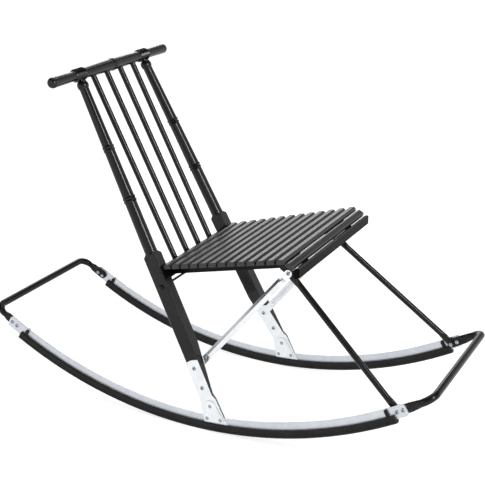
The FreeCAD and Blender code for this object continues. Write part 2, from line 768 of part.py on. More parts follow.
def slat(name, frame, half):
    """Slat with rounded upper edges."""
    body = new_body(name, frame)
    side = S.slat_width / 2
    bend = S.slat_round
    section = [
        (-side, -S.slat_thick),
        (-side, -bend, bend * QUARTER_RISE),
        (bend - side, 0),
        (side - bend, 0, bend * QUARTER_RISE),
        (side, -bend),
        (side, -S.slat_thick),
    ]
    pad(body, draw(new_sketch(body, "section", "XZ_Plane"), section), half * 2)
    keep(name, body)


def seat_slats():
    """Thirteen slats that widen towards the front, and the nosing slat that rolls over the front edge."""
    for k in range(SLATS):
        place = SEAT.multVec(X_AXIS * float(S.slat_pitch * k))
        half = S.slat_rear + (S.slat_front - S.slat_rear) * (k / (SLATS - 1))
        slat(f"seat_slat_{k + 1:02d}", Placement(place, SEAT.Rotation), half)
    slat("seat_nosing_slat", NOSING, S.slat_front)


def front_rail():
    """Front rail with a flat front and a round back."""
    corner = Vector(float(S.front_rail_x), 0, float(S.front_rail_z))
    body = new_body("seat_front_rail", Placement(corner, Rotation()))
    section = [
        (-S.front_rail_flat, 0, S.front_rail_height / 2),
        (-S.front_rail_flat, S.front_rail_height),
        (0, S.front_rail_height),
        (0, 0),
    ]
    pad(body, draw(new_sketch(body, "section", "XZ_Plane"), section), S.front_rail_half * 2)
    keep("seat_front_rail", body)


def side_rail_outline():
    """Side rail in the seat's frame, from the rear rail under the slats to the front rail."""
    to_seat = SEAT.inverse()
    lean = math.tan(math.radians(float(S.rake) - float(S.seat_pitch)))
    face = to_seat.multVec(BACK.multVec(Vector(float(S.back_rail_depth / 2), 0, -float(S.back_rail_drop))))
    under = -float(S.slat_thick)

    def on_face(height):
        return face.x - (height - face.z) * lean

    nosing_rear = to_seat.multVec(NOSING.multVec(Vector(-float(S.nosing_step), 0, under)))
    nosing_edge = NOSING.multVec(Vector(float(S.nosing_bearing), 0, under))
    nosing_front = to_seat.multVec(nosing_edge)
    housing = to_seat.multVec(Vector(float(S.front_rail_x - S.front_rail_flat), 0, nosing_edge.z))
    rear_low = under - float(S.side_rail_rear)
    front_low = under - float(S.side_rail_front)
    return [
        (on_face(rear_low), rear_low),
        (on_face(under), -S.slat_thick),
        (nosing_rear.x, -S.slat_thick),
        (nosing_rear.x, nosing_rear.z),
        (nosing_front.x, nosing_front.z),
        (housing.x, housing.z),
        (housing.x, front_low),
    ]


def front_rail_round():
    """Radius and axis of the front rail's round back."""
    radius = S.front_rail_height / 2
    depth = float(S.front_rail_x - S.front_rail_flat)
    return radius, Vector(depth, 0, float(S.front_rail_z + radius))


def bracket_holes():
    """Screw places of the seat bracket, in the seat's frame."""
    bolt = SEAT.inverse().multVec(SEAT_BOLT)
    low = -float(S.slat_thick) - float(S.side_rail_front)
    height = low + float(S.bracket_hole_rise)
    reach = float(S.bracket_hole_reach)
    return (bolt.x - reach, height), (bolt.x + reach, height)


def side_rails():
    """Boards under the slats, set in from their ends, housed over the round back of the front rail."""
    radius, axis = front_rail_round()
    for label, side in SIDES:
        name = f"seat_side_rail_{label}"
        blank = new_body(name, SEAT)
        middle = side * (S.side_rail_inner + S.side_rail_thick / 2)
        board = new_sketch(blank, "board", "XZ_Plane", Placement(Vector(0, 0, -float(middle)), Rotation()))
        board.setExpression("AttachmentOffset.Base.z", (-middle).formula)
        pad(blank, draw(board, side_rail_outline()), S.side_rail_thick)
        start = Vector(axis.x, float(middle) - float(S.side_rail_thick), axis.z)
        tools = [cylinder(f"{name}_housing", start, Y_AXIS, radius + S.fit_gap, S.side_rail_thick * 2)]
        inward = -Y_AXIS * side
        for k, (along, height) in enumerate(bracket_holes(), 1):
            face = SEAT.multVec(Vector(along, side * float(RAIL_OUTER), height))
            tools.append(cylinder(f"{name}_screw_{k}", face, inward, S.wood_screw / 2 + S.fit_gap,
                                  S.wood_screw_length + S.fit_gap))
        keep(name, cut(name, blank, tools))


# Metal of the seat and the legs

def flat_plate(name, frame, outline, holes, thickness, place):
    """Plate cut to an outline in the frame's XZ plane, its middle at a sideways place."""
    body = new_body(name, frame)
    offset = Placement(Vector(0, 0, -float(place)), Rotation())
    sketch = new_sketch(body, "outline", "XZ_Plane", offset)
    if isinstance(place, Size):
        sketch.setExpression("AttachmentOffset.Base.z", (-place).formula)
    draw(sketch, outline)
    draw_circles(sketch, holes)
    pad(body, sketch, thickness)
    return body


def seat_brackets():
    """Plates screwed to the side rails, with a rounded ear below for the seat bolt."""
    bolt = SEAT.inverse().multVec(SEAT_BOLT)
    low = -float(S.slat_thick) - float(S.side_rail_front)
    half = S.bracket_width / 2
    top = low + S.bracket_height
    ear = S.bracket_round
    outline = [
        (bolt.x - half, low),
        (bolt.x - half, top),
        (bolt.x + half, top),
        (bolt.x + half, low),
        (bolt.x + ear, bolt.z, ear),
        (bolt.x - ear, bolt.z),
    ]
    holes = [(bolt.x, bolt.z, S.screw_bore / 2 + S.fit_gap)]
    holes += [(x, z, S.wood_screw / 2 + S.fit_gap) for x, z in bracket_holes()]
    for label, side in SIDES:
        middle = side * (RAIL_OUTER + S.bracket_thick / 2)
        plate = flat_plate(f"seat_bracket_{label}", SEAT, outline, holes, S.bracket_thick, middle)
        keep(f"seat_bracket_{label}", plate)


def round_section(radius, height, thickness):
    """Circle in four arcs that face the four sides of a flat section."""
    corner = math.atan2(float(height), float(thickness))
    x = radius * math.cos(corner)
    y = radius * math.sin(corner)
    return [
        (-x, -y, radius - x),
        (-x, y, radius - y),
        (x, y, radius - x),
        (x, -y, radius - y),
    ]


def cross_frame(origin, turn=0):
    """Section frame across a body's X axis, turned about its Z axis."""
    return Placement(origin, Rotation(Z_AXIS, turn).multiply(Rotation(Vector(1, 1, 1), 120)))


def flattened(body, name, flat_at, round_at, turn, thickness, height, bore):
    """Change from a flat section to a round one."""
    flat = new_sketch(body, name + "_flat", "XY_Plane", cross_frame(flat_at))
    draw(flat, rectangle(-thickness / 2, thickness / 2, -height / 2, height / 2))
    tube = new_sketch(body, name + "_round", "XY_Plane", cross_frame(round_at, turn))
    draw(tube, round_section(bore / 2, height, thickness))
    loft(body, flat, tube)


def blade(body, name, place, start, end, height, thickness, holes, tip, gap):
    """Flat strip in the body's XZ plane, round at its tip and drilled with a clearance."""
    sketch = new_sketch(body, name, "XZ_Plane", Placement(Vector(0, 0, -float(place)), Rotation()))
    half = height / 2
    if tip < 0:
        outline = [(end, -half), (start, -half, half), (start, half), (end, half)]
    else:
        outline = [(start, half), (end, half, half), (end, -half), (start, -half)]
    draw(sketch, outline)
    draw_circles(sketch, [(x, 0, S.screw_bore / 2 + gap) for x in holes])
    pad(body, sketch, thickness)


def front_stays():
    """Straight tubes from the seat bolts down to the inner front bar bolts, flattened at both ends."""
    run = STAY_BOLT - SEAT_BOLT
    length = run.Length
    down = run.normalize()
    upper = float(STAY_SEAT + S.stay_thick / 2)
    lower = float(BAR_INNER - S.blade_thick - S.stay_thick / 2)
    flat = float(S.stay_flat)
    turn_length = float(S.stay_turn)
    for label, side in SIDES:
        name = f"front_stay_{label}"
        origin = SEAT_BOLT + Y_AXIS * side * upper
        body = new_body(name, Placement(origin, Rotation(down, Y_AXIS, down.cross(Y_AXIS), "XYZ")))
        step = side * (lower - upper)
        first = Vector(flat + turn_length / 2, 0, 0)
        last = Vector(length - flat - turn_length / 2, step, 0)
        axis = (last - first).normalize()
        bend = math.degrees(math.atan2(axis.y, axis.x))
        tube_start = first + axis * (turn_length / 2)
        tube_end = last - axis * (turn_length / 2)
        flattened(body, "upper", Vector(flat, 0, 0), tube_start, bend,
                  S.stay_thick, S.stay_height, S.stay_bore)
        tube = new_sketch(body, "tube", "XY_Plane", cross_frame(tube_start, bend))
        draw_circles(tube, [(0, 0, S.stay_bore / 2)])
        draw(tube, ring_of(S.stay_bore / 2 - S.tube_wall))
        pad(body, tube, tube_start.distanceToPoint(tube_end), symmetric=False)
        flattened(body, "lower", Vector(length - flat, step, 0), tube_end, bend,
                  S.stay_thick, S.stay_height, S.stay_bore)
        blade(body, "upper_blade", 0, 0, S.stay_flat, S.stay_height, S.stay_thick, [0], -1, S.fit_gap)
        blade(body, "lower_blade", step, length - flat, length,
              S.stay_height, S.stay_thick, [length], 1, S.fit_gap)
        keep(name, body)


def strut_frame(side):
    """Strut's lower bolt in the middle of its web, X up to the seat bolt and Y square to the web."""
    leg = post_frame(side)
    foot = wedge_hit(leg, side, LEG_BOLTS[0], S.plate_thick + S.strut_thick / 2)
    head = SEAT_BOLT + Y_AXIS * side * float(STRUT_SEAT + S.strut_thick / 2)
    up = (head - foot).normalize()
    square = leg.Rotation.multVec(X_AXIS).cross(up)
    square = square * (1 if square.y > 0 else -1)
    return Placement(foot, Rotation(up, square, up.cross(square), "XYZ")), foot.distanceToPoint(head)


def strut_section(ridge):
    """Strip of the strut, with its middle line pushed out to make an angle."""
    half = S.strut_web / 2
    skin = S.strut_thick / 2
    return [(-skin, -half), (ridge - skin, 0), (-skin, half), (skin, half), (ridge + skin, 0), (skin, -half)]


def struts():
    """Zinc angle struts from the shoes to the seat bolts, flat at both ends. The lower end lies on the
    inner shoe plate, and the upper end is twisted to lie on the stay."""
    half = S.strut_web / 2
    for label, side in SIDES:
        name = f"brace_strut_{label}"
        frame, length = strut_frame(side)
        body = new_body(name, frame)
        angle_start = float(S.strut_lower_flat + S.strut_twist)
        angle_end = length - float(S.strut_upper_flat)
        tab_start = float(S.strut_twist - S.strut_upper_flat)
        blade(body, "foot", 0, 0, S.strut_lower_flat, S.strut_web, S.strut_thick, [0], -1, S.slant_gap)
        ridge = side * S.strut_ridge
        head = Placement(SEAT_BOLT + Y_AXIS * side * float(STRUT_SEAT + S.strut_thick / 2), Rotation())
        along = frame.Rotation.multVec(X_AXIS)
        along = Vector(along.x, 0, along.z).normalize()
        head.Rotation = Rotation(along, Y_AXIS, along.cross(Y_AXIS), "XYZ")
        tab = frame.inverse().multiply(head)
        places = (
            ("foot_end", cross_frame(Vector(float(S.strut_lower_flat), 0, 0)), 0),
            ("angle_start", cross_frame(Vector(angle_start, 0, 0)), ridge),
            ("angle_end", cross_frame(Vector(angle_end, 0, 0)), ridge),
            ("tab_start", tab.multiply(cross_frame(Vector(tab_start, 0, 0))), 0),
        )
        stages = []
        for stage, place, rise in places:
            stages.append(draw(new_sketch(body, stage, "XY_Plane", place), strut_section(rise)))
        for first, second in zip(stages, stages[1:]):
            loft(body, first, second)
        flat = tab.multiply(Placement(Vector(), Rotation(X_AXIS, 90)))
        sketch = new_sketch(body, "tab", "XY_Plane", flat)
        draw(sketch, [(tab_start, half), (0, half, half), (0, -half), (tab_start, -half)])
        draw_circles(sketch, [(0, 0, S.screw_bore / 2 + S.fit_gap)])
        pad(body, sketch, S.strut_thick)
        keep(name, body)


def foot_bottom(along):
    """Depth below the crest axis of the tread's top under a place fore or aft of the leg's axis."""
    top = float(TREAD_TOP - S.foot_gap)
    centre = BACK.inverse().multVec(Vector(float(S.rocker_shift), 0, float(S.rocker_radius)))
    return math.sqrt(top * top - (along - centre.x) ** 2) - centre.z


def shoe_outline():
    """Shoe plate seen square to its sheet: a strap on the leg that spreads into a foot on the rocker bar."""
    strap = float(S.leg_depth) / 2
    cosine = math.cos(math.radians(float(S.splay)))
    top = float(PLATE_TOP) * cosine
    neck = float(LEG_END) * cosine + float(S.foot_neck)
    front = float(S.foot_front)
    rear = float(S.foot_rear)
    shoulder = float(S.foot_shoulder)
    return [
        (-strap, -top, float(S.plate_arch)),
        (strap, -top),
        (strap, -neck),
        (front, -neck - shoulder),
        (front, -foot_bottom(front)),
        (-rear, -foot_bottom(-rear)),
        (-strap, -neck),
    ]


def foot_line(outer):
    """Sideways place of the face of a shoe plate that meets the leg, above and below its bend."""
    if outer:
        half = float(S.leg_width / 2)
        face = [back_point(LEFT_POST, Vector(0, half, -float(drop))) for drop in (PLATE_TOP, LEG_END)]
        return face, float(BAR_OUTER), 1
    return WEDGE, float(BAR_INNER), -1


def shoe_plates():
    """Zinc plates on both faces of each leg, bent to meet both faces of the rocker bar."""
    outline = shoe_outline()
    top = -outline[0][1] - 2 * float(S.plate_arch)
    low = max(-point[1] for point in outline) + 2 * float(S.plate_arch)
    span = float(S.foot_rear) * 3
    sheet_thick = float(S.plate_thick)
    for label, side in SIDES:
        for where, outer in (("outer", True), ("inner", False)):
            name = f"shoe_plate_{where}_{label}"
            line, foot, way = foot_line(outer)
            lean = math.atan2(line[1][0] - line[0][0], line[1][1] - line[0][1])
            slope = math.tan(lean)
            bend = line[0][1] + (foot - line[0][0]) / slope
            away = way * sheet_thick
            shift = away / math.cos(lean)
            far_bend = bend + (away - shift) / slope
            strip = [
                (side * lateral_on(line, top), -top),
                (side * foot, -bend),
                (side * foot, -low),
                (side * (foot + away), -low),
                (side * (foot + away), -far_bend),
                (side * (lateral_on(line, top) + shift), -top),
            ]
            body = new_body(name, BACK)
            pad(body, draw(new_sketch(body, "strip", "YZ_Plane"), strip), span)
            level = Placement(-Z_AXIS * side * foot, Rotation())
            trim = new_sketch(body, "trim", "XZ_Plane", level)
            draw(trim, rectangle(-span, span, -low - span, -top + span))
            draw(trim, outline)
            pocket(body, trim, span)
            holes = new_sketch(body, "holes", "XZ_Plane", level)
            pocket(body, draw_circles(holes, shoe_holes(outer)), span)
            keep(name, body)


def foot_bolt_place():
    """Shoe bolt below the leg's tip, in the chair's middle plane."""
    drop = float(LEG_END + S.foot_bolt_drop) * math.cos(math.radians(float(S.splay)))
    return BACK.multVec(-Z_AXIS * drop)


def shoe_holes(outer):
    """Bolt and rivet holes of a shoe plate, seen square to its foot."""
    holes = [(0, BACK.inverse().multVec(foot_bolt_place()).z, S.screw_bore / 2 + S.fit_gap)]
    for drop in LEG_BOLTS:
        if outer:
            place = LEFT_POST.multVec(Vector(0, float(S.leg_width / 2 + S.plate_thick / 2), -float(drop)))
        else:
            place = wedge_hit(LEFT_POST, 1, drop, S.plate_thick / 2)
        holes.append((0, BACK.inverse().multVec(place).z, S.screw_bore / 2 + S.slant_gap))
    for angle in RIVETS:
        place = BACK.inverse().multVec(arc_point(RIVET_RING, angle))
        holes.append((place.x, place.z, S.rivet_bore / 2 + S.fit_gap))
    return holes


def tie_rod():
    """Rod through both legs under the seat, held by cap nuts."""
    place = LEFT_POST.multVec(-Z_AXIS * float(S.rod_drop))
    lean = math.radians(float(S.splay))
    face = place.y + float(S.leg_width) / 2 / math.cos(lean)
    seat = face + float(S.rod_nut_radius) * math.tan(lean) + float(S.fit_gap)
    half = seat + float(S.rod_grip)
    start = Vector(place.x, -half, place.z)
    keep("tie_rod", cylinder("tie_rod", start, Y_AXIS, S.rod_bore / 2, 2 * half))
    nuts = []
    for label, side in SIDES:
        base = Vector(place.x, side * seat, place.z)
        name = f"tie_nut_{label}"
        cap = prism(name + "_cap", base, Y_AXIS * side, S.rod_nut_radius, S.rod_nut_height)
        bore = prism(name + "_bore", base, Y_AXIS * side, S.rod_bore / 2 + S.fit_gap, S.rod_grip + S.fit_gap)
        nuts.append(drilled(name, cap, bore))
    group("tie_rod_nuts", nuts)


# Fasteners

def prism(name, base, direction, radius, height, sides=BUTTON_SIDES):
    """Button, shank or nut as an even prism, which keeps the many fasteners light."""
    block = doc.addObject("Part::Prism", name)
    block.Polygon = sides
    bind(block, "Circumradius", radius)
    bind(block, "Height", height)
    block.Placement = Placement(base, Rotation(Z_AXIS, direction))
    return block


def drilled(name, block, bore):
    ring = doc.addObject("Part::Cut", name)
    ring.Base = block
    ring.Tool = bore
    return ring


def fuse(name, pieces):
    whole = doc.addObject("Part::MultiFuse", name)
    whole.Shapes = pieces
    return whole


def bolt(name, start, end, bore, start_normal=None, end_normal=None, headed=False):
    """Button-headed bolt from its head's seat to the far face, or a rivet with a head at both ends."""
    along = (end - start).normalize()
    tail = 0 if headed else float(S.nut_height + S.bolt_tail)
    length = start.distanceToPoint(end) + tail
    pieces = [
        prism(name + "_head", start, start_normal or -along, S.head_radius, S.head_height),
        prism(name + "_shank", start, along, bore / 2, length),
    ]
    if headed:
        pieces.append(prism(name + "_tail", end, end_normal or along, S.head_radius, S.head_height))
    return fuse(name, pieces)


def nut(name, base, direction):
    hexagon = prism(name + "_hexagon", base, direction, S.nut_radius, S.nut_height, NUT_SIDES)
    bore = prism(name + "_bore", base, direction, S.screw_bore / 2 + S.fit_gap, S.nut_height)
    return drilled(name, hexagon, bore)


def bar_fasteners():
    """Bolts through the rocker bars and the flattened bar ends. The inner front ones hold the stays too."""
    bolts = []
    nuts = []
    for label, side in SIDES:
        for k, angle in enumerate(REAR_BOLTS + FRONT_BOLTS, 1):
            inner = BAR_INNER - S.blade_thick
            if angle == FRONT_BOLTS[1]:
                inner = inner - S.stay_thick
            place = arc_point(BOLT_RING, angle)
            start = place + Y_AXIS * side * float(BAR_OUTER)
            end = place + Y_AXIS * side * float(inner)
            bolts.append(bolt(f"bar_bolt_{label}_{k}", start, end, S.screw_bore))
            nuts.append(nut(f"bar_nut_{label}_{k}", end, -Y_AXIS * side))
    group("bar_bolts", bolts)
    group("bar_nuts", nuts)


def seat_fasteners():
    """Seat bolts through strut, stay and bracket, and the screws that hold the brackets."""
    bolts = []
    nuts = []
    screws = []
    for label, side in SIDES:
        out = Y_AXIS * side
        start = SEAT_BOLT + out * float(STRUT_SEAT + S.strut_thick)
        end = SEAT_BOLT + out * float(RAIL_OUTER)
        bolts.append(bolt(f"seat_bolt_{label}", start, end, S.screw_bore))
        nuts.append(nut(f"seat_nut_{label}", end, -out))
        for k, (along, height) in enumerate(bracket_holes(), 1):
            face = SEAT.multVec(Vector(along, side * float(STAY_SEAT), height))
            head = prism(f"bracket_head_{label}_{k}", face, out, S.wood_screw_head, S.wood_screw_rise)
            shank = prism(f"bracket_shank_{label}_{k}", face, -out, S.wood_screw / 2,
                          S.bracket_thick + S.wood_screw_length)
            screws.append(fuse(f"bracket_screw_{label}_{k}", [head, shank]))
    group("seat_bolts", bolts)
    group("seat_nuts", nuts)
    group("bracket_screws", screws)


def shoe_fasteners():
    """Riveted bolts through the legs, and the bolt and rivets that hold each shoe to its rocker bar."""
    leg_bolts = []
    foot_bolts = []
    rivets = []
    for label, side in SIDES:
        frame = post_frame(side)
        across = frame.Rotation.multVec(Y_AXIS) * side
        tilt = Rotation(X_AXIS, side * math.degrees(WEDGE_LEAN))
        inward = BACK.Rotation.multVec(tilt.multVec(-Y_AXIS * side))
        for k, drop in enumerate(LEG_BOLTS, 1):
            centre = frame.multVec(-Z_AXIS * float(drop))
            start = centre + across * float(S.leg_width / 2 + S.plate_thick)
            sheets = S.plate_thick + S.strut_thick if k == 1 else S.plate_thick
            end = wedge_hit(frame, side, drop, sheets)
            name = f"leg_bolt_{label}_{k}"
            leg_bolts.append(bolt(name, start, end, S.screw_bore, across, inward, headed=True))
        name = f"foot_bolt_{label}"
        foot_bolts.append(through_bar(name, foot_bolt_place(), side, S.screw_bore, S.plate_thick))
        for k, angle in enumerate(RIVETS, 1):
            place = arc_point(RIVET_RING, angle)
            rivets.append(through_bar(f"shoe_rivet_{label}_{k}", place, side, S.rivet_bore, S.plate_thick))
    group("leg_bolts", leg_bolts)
    group("shoe_bolts", foot_bolts)
    group("shoe_rivets", rivets)


def wedge_hit(frame, side, drop, sheets):
    """Where a leg bolt comes out of the sheets on the wedge face."""
    (y0, q0), (y1, q1) = wedge_offset(sheets)
    first = frame.inverse().multVec(BACK.multVec(Vector(0, side * y0, -q0)))
    second = frame.inverse().multVec(BACK.multVec(Vector(0, side * y1, -q1)))
    share = (-float(drop) - first.z) / (second.z - first.z)
    return frame.multVec(Vector(0, first.y + (second.y - first.y) * share, -float(drop)))


def through_bar(name, place, side, bore, sheets):
    """Rivet square through a rocker bar with a sheet on each face."""
    start = place + Y_AXIS * side * float(BAR_OUTER + sheets)
    end = place + Y_AXIS * side * float(BAR_INNER - sheets)
    return bolt(name, start, end, bore, headed=True)


# Rockers

def bar_holes():
    """Bolt, rivet and pin holes of a rocker bar."""
    holes = []
    for ring, bore, angles in (
        (BOLT_RING, S.screw_bore, REAR_BOLTS + FRONT_BOLTS),
        (RIVET_RING, S.rivet_bore, RIVETS),
        (PIN_RING, S.pin_bore, PIN_ANGLES),
    ):
        holes += [(*on_arc(ring, angle), bore / 2 + S.fit_gap) for angle in angles]
    return holes


def rocker_bars():
    """Flat zinc bars on edge, bent to the rocker's arc, round at the ends and drilled."""
    half = S.bar_thick / 2
    middle = (float(BAR_FRONT) - float(BAR_REAR)) / 2
    for label, side in SIDES:
        name = f"rocker_bar_{label}"
        body = new_body(name, rocker_frame(side))
        section = new_sketch(body, "section", "XY_Plane", Placement(Vector(), pitch(middle)))
        draw(section, rectangle(BAR_TOP, BAR_LOW, -half, half))
        band = revolve(body, section, BAR_FRONT + BAR_REAR)
        doc.recompute()
        dress(body, "Fillet", band, edges_along(band.Shape, Y_AXIS), S.bar_round)
        pocket(body, draw_circles(new_sketch(body, "holes", "XZ_Plane"), bar_holes()), S.bar_thick * 2)
        keep(name, body)


def tread_section():
    """Tread across the arc: a slot for the bar above, eased lower edges and a line along each side."""
    half = S.tread_width / 2
    slot = S.bar_thick / 2 + S.fit_gap
    floor = BAR_LOW + S.fit_gap
    low = S.rocker_radius
    ease = S.tread_chamfer
    line = low - S.tread_wall
    depth = S.tread_line
    return [
        (TREAD_TOP, slot),
        (TREAD_TOP, half),
        (line - depth, half),
        (line, half - depth),
        (line + depth, half),
        (low - ease, half),
        (low, half - ease),
        (low, ease - half),
        (low - ease, -half),
        (line + depth, -half),
        (line, depth - half),
        (line - depth, -half),
        (TREAD_TOP, -half),
        (TREAD_TOP, -slot),
        (floor, -slot),
        (floor, slot),
    ]


def lug_outline(angle):
    """Round-topped lug on the tread's side wall, about a pin."""
    half = arc_degrees(S.lug_length / 2, PIN_RING)
    root = TREAD_TOP + S.tread_line
    return [
        on_arc(root, angle + half),
        on_arc(root, angle - half),
        (*on_arc(PIN_RING, angle - half), S.lug_length / 2),
        on_arc(PIN_RING, angle + half),
    ]


def treads():
    """Rubber treads slotted over the lower edge of the bars, pinned through a pair of lugs at each end."""
    middle = (float(TREAD_FRONT) - float(TREAD_REAR)) / 2
    inner = S.bar_thick / 2 + S.fit_gap
    for label, side in SIDES:
        name = f"rocker_tread_{label}"
        body = new_body(name, rocker_frame(side))
        section = new_sketch(body, "section", "XY_Plane", Placement(Vector(), pitch(middle)))
        revolve(body, draw(section, tread_section()), TREAD_FRONT + TREAD_REAR)
        for k, angle in enumerate(PIN_ANGLES):
            for face in (-1, 1):
                place = face * (inner + S.lug_thick / 2)
                offset = Placement(Vector(0, 0, float(place)), Rotation())
                lug = new_sketch(body, f"lug_{k}_{face + 1}", "XZ_Plane", offset)
                lug.setExpression("AttachmentOffset.Base.z", place.formula)
                draw(lug, lug_outline(angle))
                draw_circles(lug, [(*on_arc(PIN_RING, angle), S.pin_bore / 2 + S.fit_gap)])
                pad(body, lug, S.lug_thick)
        keep(name, body)


def tread_pins():
    """Plain pins through the lugs and the bars."""
    pins = []
    half = S.bar_thick / 2 + S.fit_gap + S.lug_thick
    for label, side in SIDES:
        for k, angle in enumerate(PIN_ANGLES, 1):
            start = arc_point(PIN_RING, angle) + Y_AXIS * float(side * S.track / 2 - half)
            pins.append(prism(f"tread_pin_{label}_{k}", start, Y_AXIS, S.pin_bore / 2, half * 2))
    group("tread_pins", pins)


def cross_bar(name, angles, heading):
    """Bent tube that ties the two rockers together, its flattened ends on the bars' inner faces."""
    angle = sum(angles) / 2
    place = arc_point(BOLT_RING, angle)
    lift = pitch(abs(angle)) if heading > 0 else Rotation(Z_AXIS, 180).multiply(pitch(abs(angle)))
    body = new_body(name, Placement(place, lift))
    reach = float(S.overall_length) / 2 - float(S.tube_bore) / 2
    run = (reach - abs(place.x)) / math.cos(math.radians(abs(angle)))
    arm = BAR_INNER - S.blade_thick / 2
    bend = S.tube_bend
    elbow = run - bend
    pitch_half = S.bolt_pitch / 2
    flat_end = S.bolt_margin + pitch_half + S.blade_reach
    tail = pitch_half + S.blade_tail
    rise = bend * QUARTER_RISE
    path = new_sketch(body, "path", "XY_Plane")
    draw(path, [(elbow, arm, rise), (run, arm - bend), (run, bend - arm, rise), (elbow, -arm)], closed=False)
    section = new_sketch(body, "tube", "XY_Plane", cross_frame(Vector(float(elbow), float(arm), 0)))
    draw_circles(section, [(0, 0, S.tube_bore / 2)])
    draw(section, ring_of(S.tube_bore / 2 - S.tube_wall))
    pipe = body.newObject("PartDesign::AdditivePipe", f"{name}_pipe")
    pipe.Profile = section
    pipe.Spine = (path, ["Edge1", "Edge2", "Edge3"])
    holes = [-pitch_half, pitch_half]
    half = S.blade_height / 2
    for label, side in SIDES:
        round_at = Vector(float(elbow), side * float(arm), 0)
        flat_at = Vector(float(flat_end), side * float(arm), 0)
        flattened(body, f"end_{label}", flat_at, round_at, 0, S.blade_thick, S.blade_height, S.tube_bore)
        blade(body, f"blade_{label}", side * arm, half - tail, flat_end,
              S.blade_height, S.blade_thick, holes, -1, S.fit_gap)
    keep(name, body)


def build():
    crest_rail()
    spindles()
    posts()
    back_rail()
    seat_slats()
    front_rail()
    side_rails()
    seat_brackets()
    front_stays()
    struts()
    shoe_plates()
    tie_rod()
    rocker_bars()
    treads()
    tread_pins()
    cross_bar("front_bar", FRONT_BOLTS, 1)
    cross_bar("rear_bar", REAR_BOLTS, -1)
    bar_fasteners()
    seat_fasteners()
    shoe_fasteners()
    doc.recompute()


def check():
    """Stop before anything is written if a feature failed or a piece has no sound shape."""
    failed = [item.Name for item in doc.Objects if {"Invalid", "Error"} & set(item.State)]
    failed += [piece.Label for piece in nodes if piece.Shape.isNull() or not piece.Shape.isValid()]
    if failed:
        raise RuntimeError(f"these failed: {failed}")


def write():
    os.makedirs("parts", exist_ok=True)
    for piece in nodes:
        piece.Shape.exportStep(os.path.join("parts", piece.Label + ".step"))


build()
check()
write()
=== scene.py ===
import math

import bmesh
import bpy
from mathutils import Matrix, Vector
from mathutils.geometry import convex_hull_2d


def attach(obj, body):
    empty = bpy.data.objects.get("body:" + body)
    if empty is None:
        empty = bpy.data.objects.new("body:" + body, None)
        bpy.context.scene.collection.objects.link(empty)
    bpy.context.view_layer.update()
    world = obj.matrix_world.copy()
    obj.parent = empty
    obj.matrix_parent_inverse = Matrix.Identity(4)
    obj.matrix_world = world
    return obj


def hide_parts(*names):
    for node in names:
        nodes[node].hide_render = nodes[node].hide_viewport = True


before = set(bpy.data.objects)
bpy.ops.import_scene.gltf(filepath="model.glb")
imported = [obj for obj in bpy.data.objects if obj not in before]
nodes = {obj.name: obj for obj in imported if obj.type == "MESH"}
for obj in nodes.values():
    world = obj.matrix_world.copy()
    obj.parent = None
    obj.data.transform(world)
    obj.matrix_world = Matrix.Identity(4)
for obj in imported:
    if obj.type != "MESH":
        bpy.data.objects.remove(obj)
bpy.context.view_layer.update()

# Viewing angle of the photograph, in metres and pixels
IMAGE = 485
FOCAL_PIXELS = 1129.1
SENSOR = 36.0
CAMERA_AT = Vector((1.2862, -2.4423, 1.4447))
CAMERA_AIM = Vector((0.0295, 0.0, 0.4396))

# Lean of the posts and of the seat
RAKE = math.radians(26.77)
SEAT_SLOPE = math.radians(14.28)


# Node helpers

LEVEL = (0.0, 0.0, 0.0)
EVEN = (1.0, 1.0, 1.0)
BLANK = (0.0, 0.0, 0.0)
FULL = (1.0, 1.0, 1.0)

# How far the rounded normal leaves the true one where the edge colour starts and where it is full, as
# cosines
EDGE_START = 0.995
EDGE_FULL = 0.8
EDGE_SAMPLES = 6
GAP_SAMPLES = 8


class Nodes:
    """The node tree of a material or world and short ways to fill it."""

    def __init__(self, owner):
        owner.use_nodes = True
        self.tree = owner.node_tree

    def give(self, value, socket):
        """Join another node's output to a socket, or set a plain value on it."""
        if isinstance(value, bpy.types.NodeSocket):
            self.tree.links.new(value, socket)
        else:
            socket.default_value = value

    def add(self, kind, inputs=None, **settings):
        """New node with its settings, and with values or other nodes' outputs on its inputs."""
        node = self.tree.nodes.new(kind)
        for key, value in settings.items():
            setattr(node, key, value)
        for socket, value in (inputs or {}).items():
            self.give(value, node.inputs[socket])
        return node

    def span(self, value, low, high, start=0.0, end=1.0):
        """A value between start and end moved into the range from low to high."""
        limits = {"Value": value, "From Min": start, "From Max": end, "To Min": low, "To Max": high}
        return self.add("ShaderNodeMapRange", limits).outputs["Result"]

    def combine(self, operation, first, second):
        return self.add("ShaderNodeMath", {0: first, 1: second}, operation=operation).outputs[0]

    def seen_directly(self):
        """1 for rays from the camera, a mirror or glass, otherwise 0."""
        path = self.add("ShaderNodeLightPath")
        total = path.outputs["Is Camera Ray"]
        for name in ("Is Glossy Ray", "Is Transmission Ray"):
            total = self.combine("MAXIMUM", total, path.outputs[name])
        return total


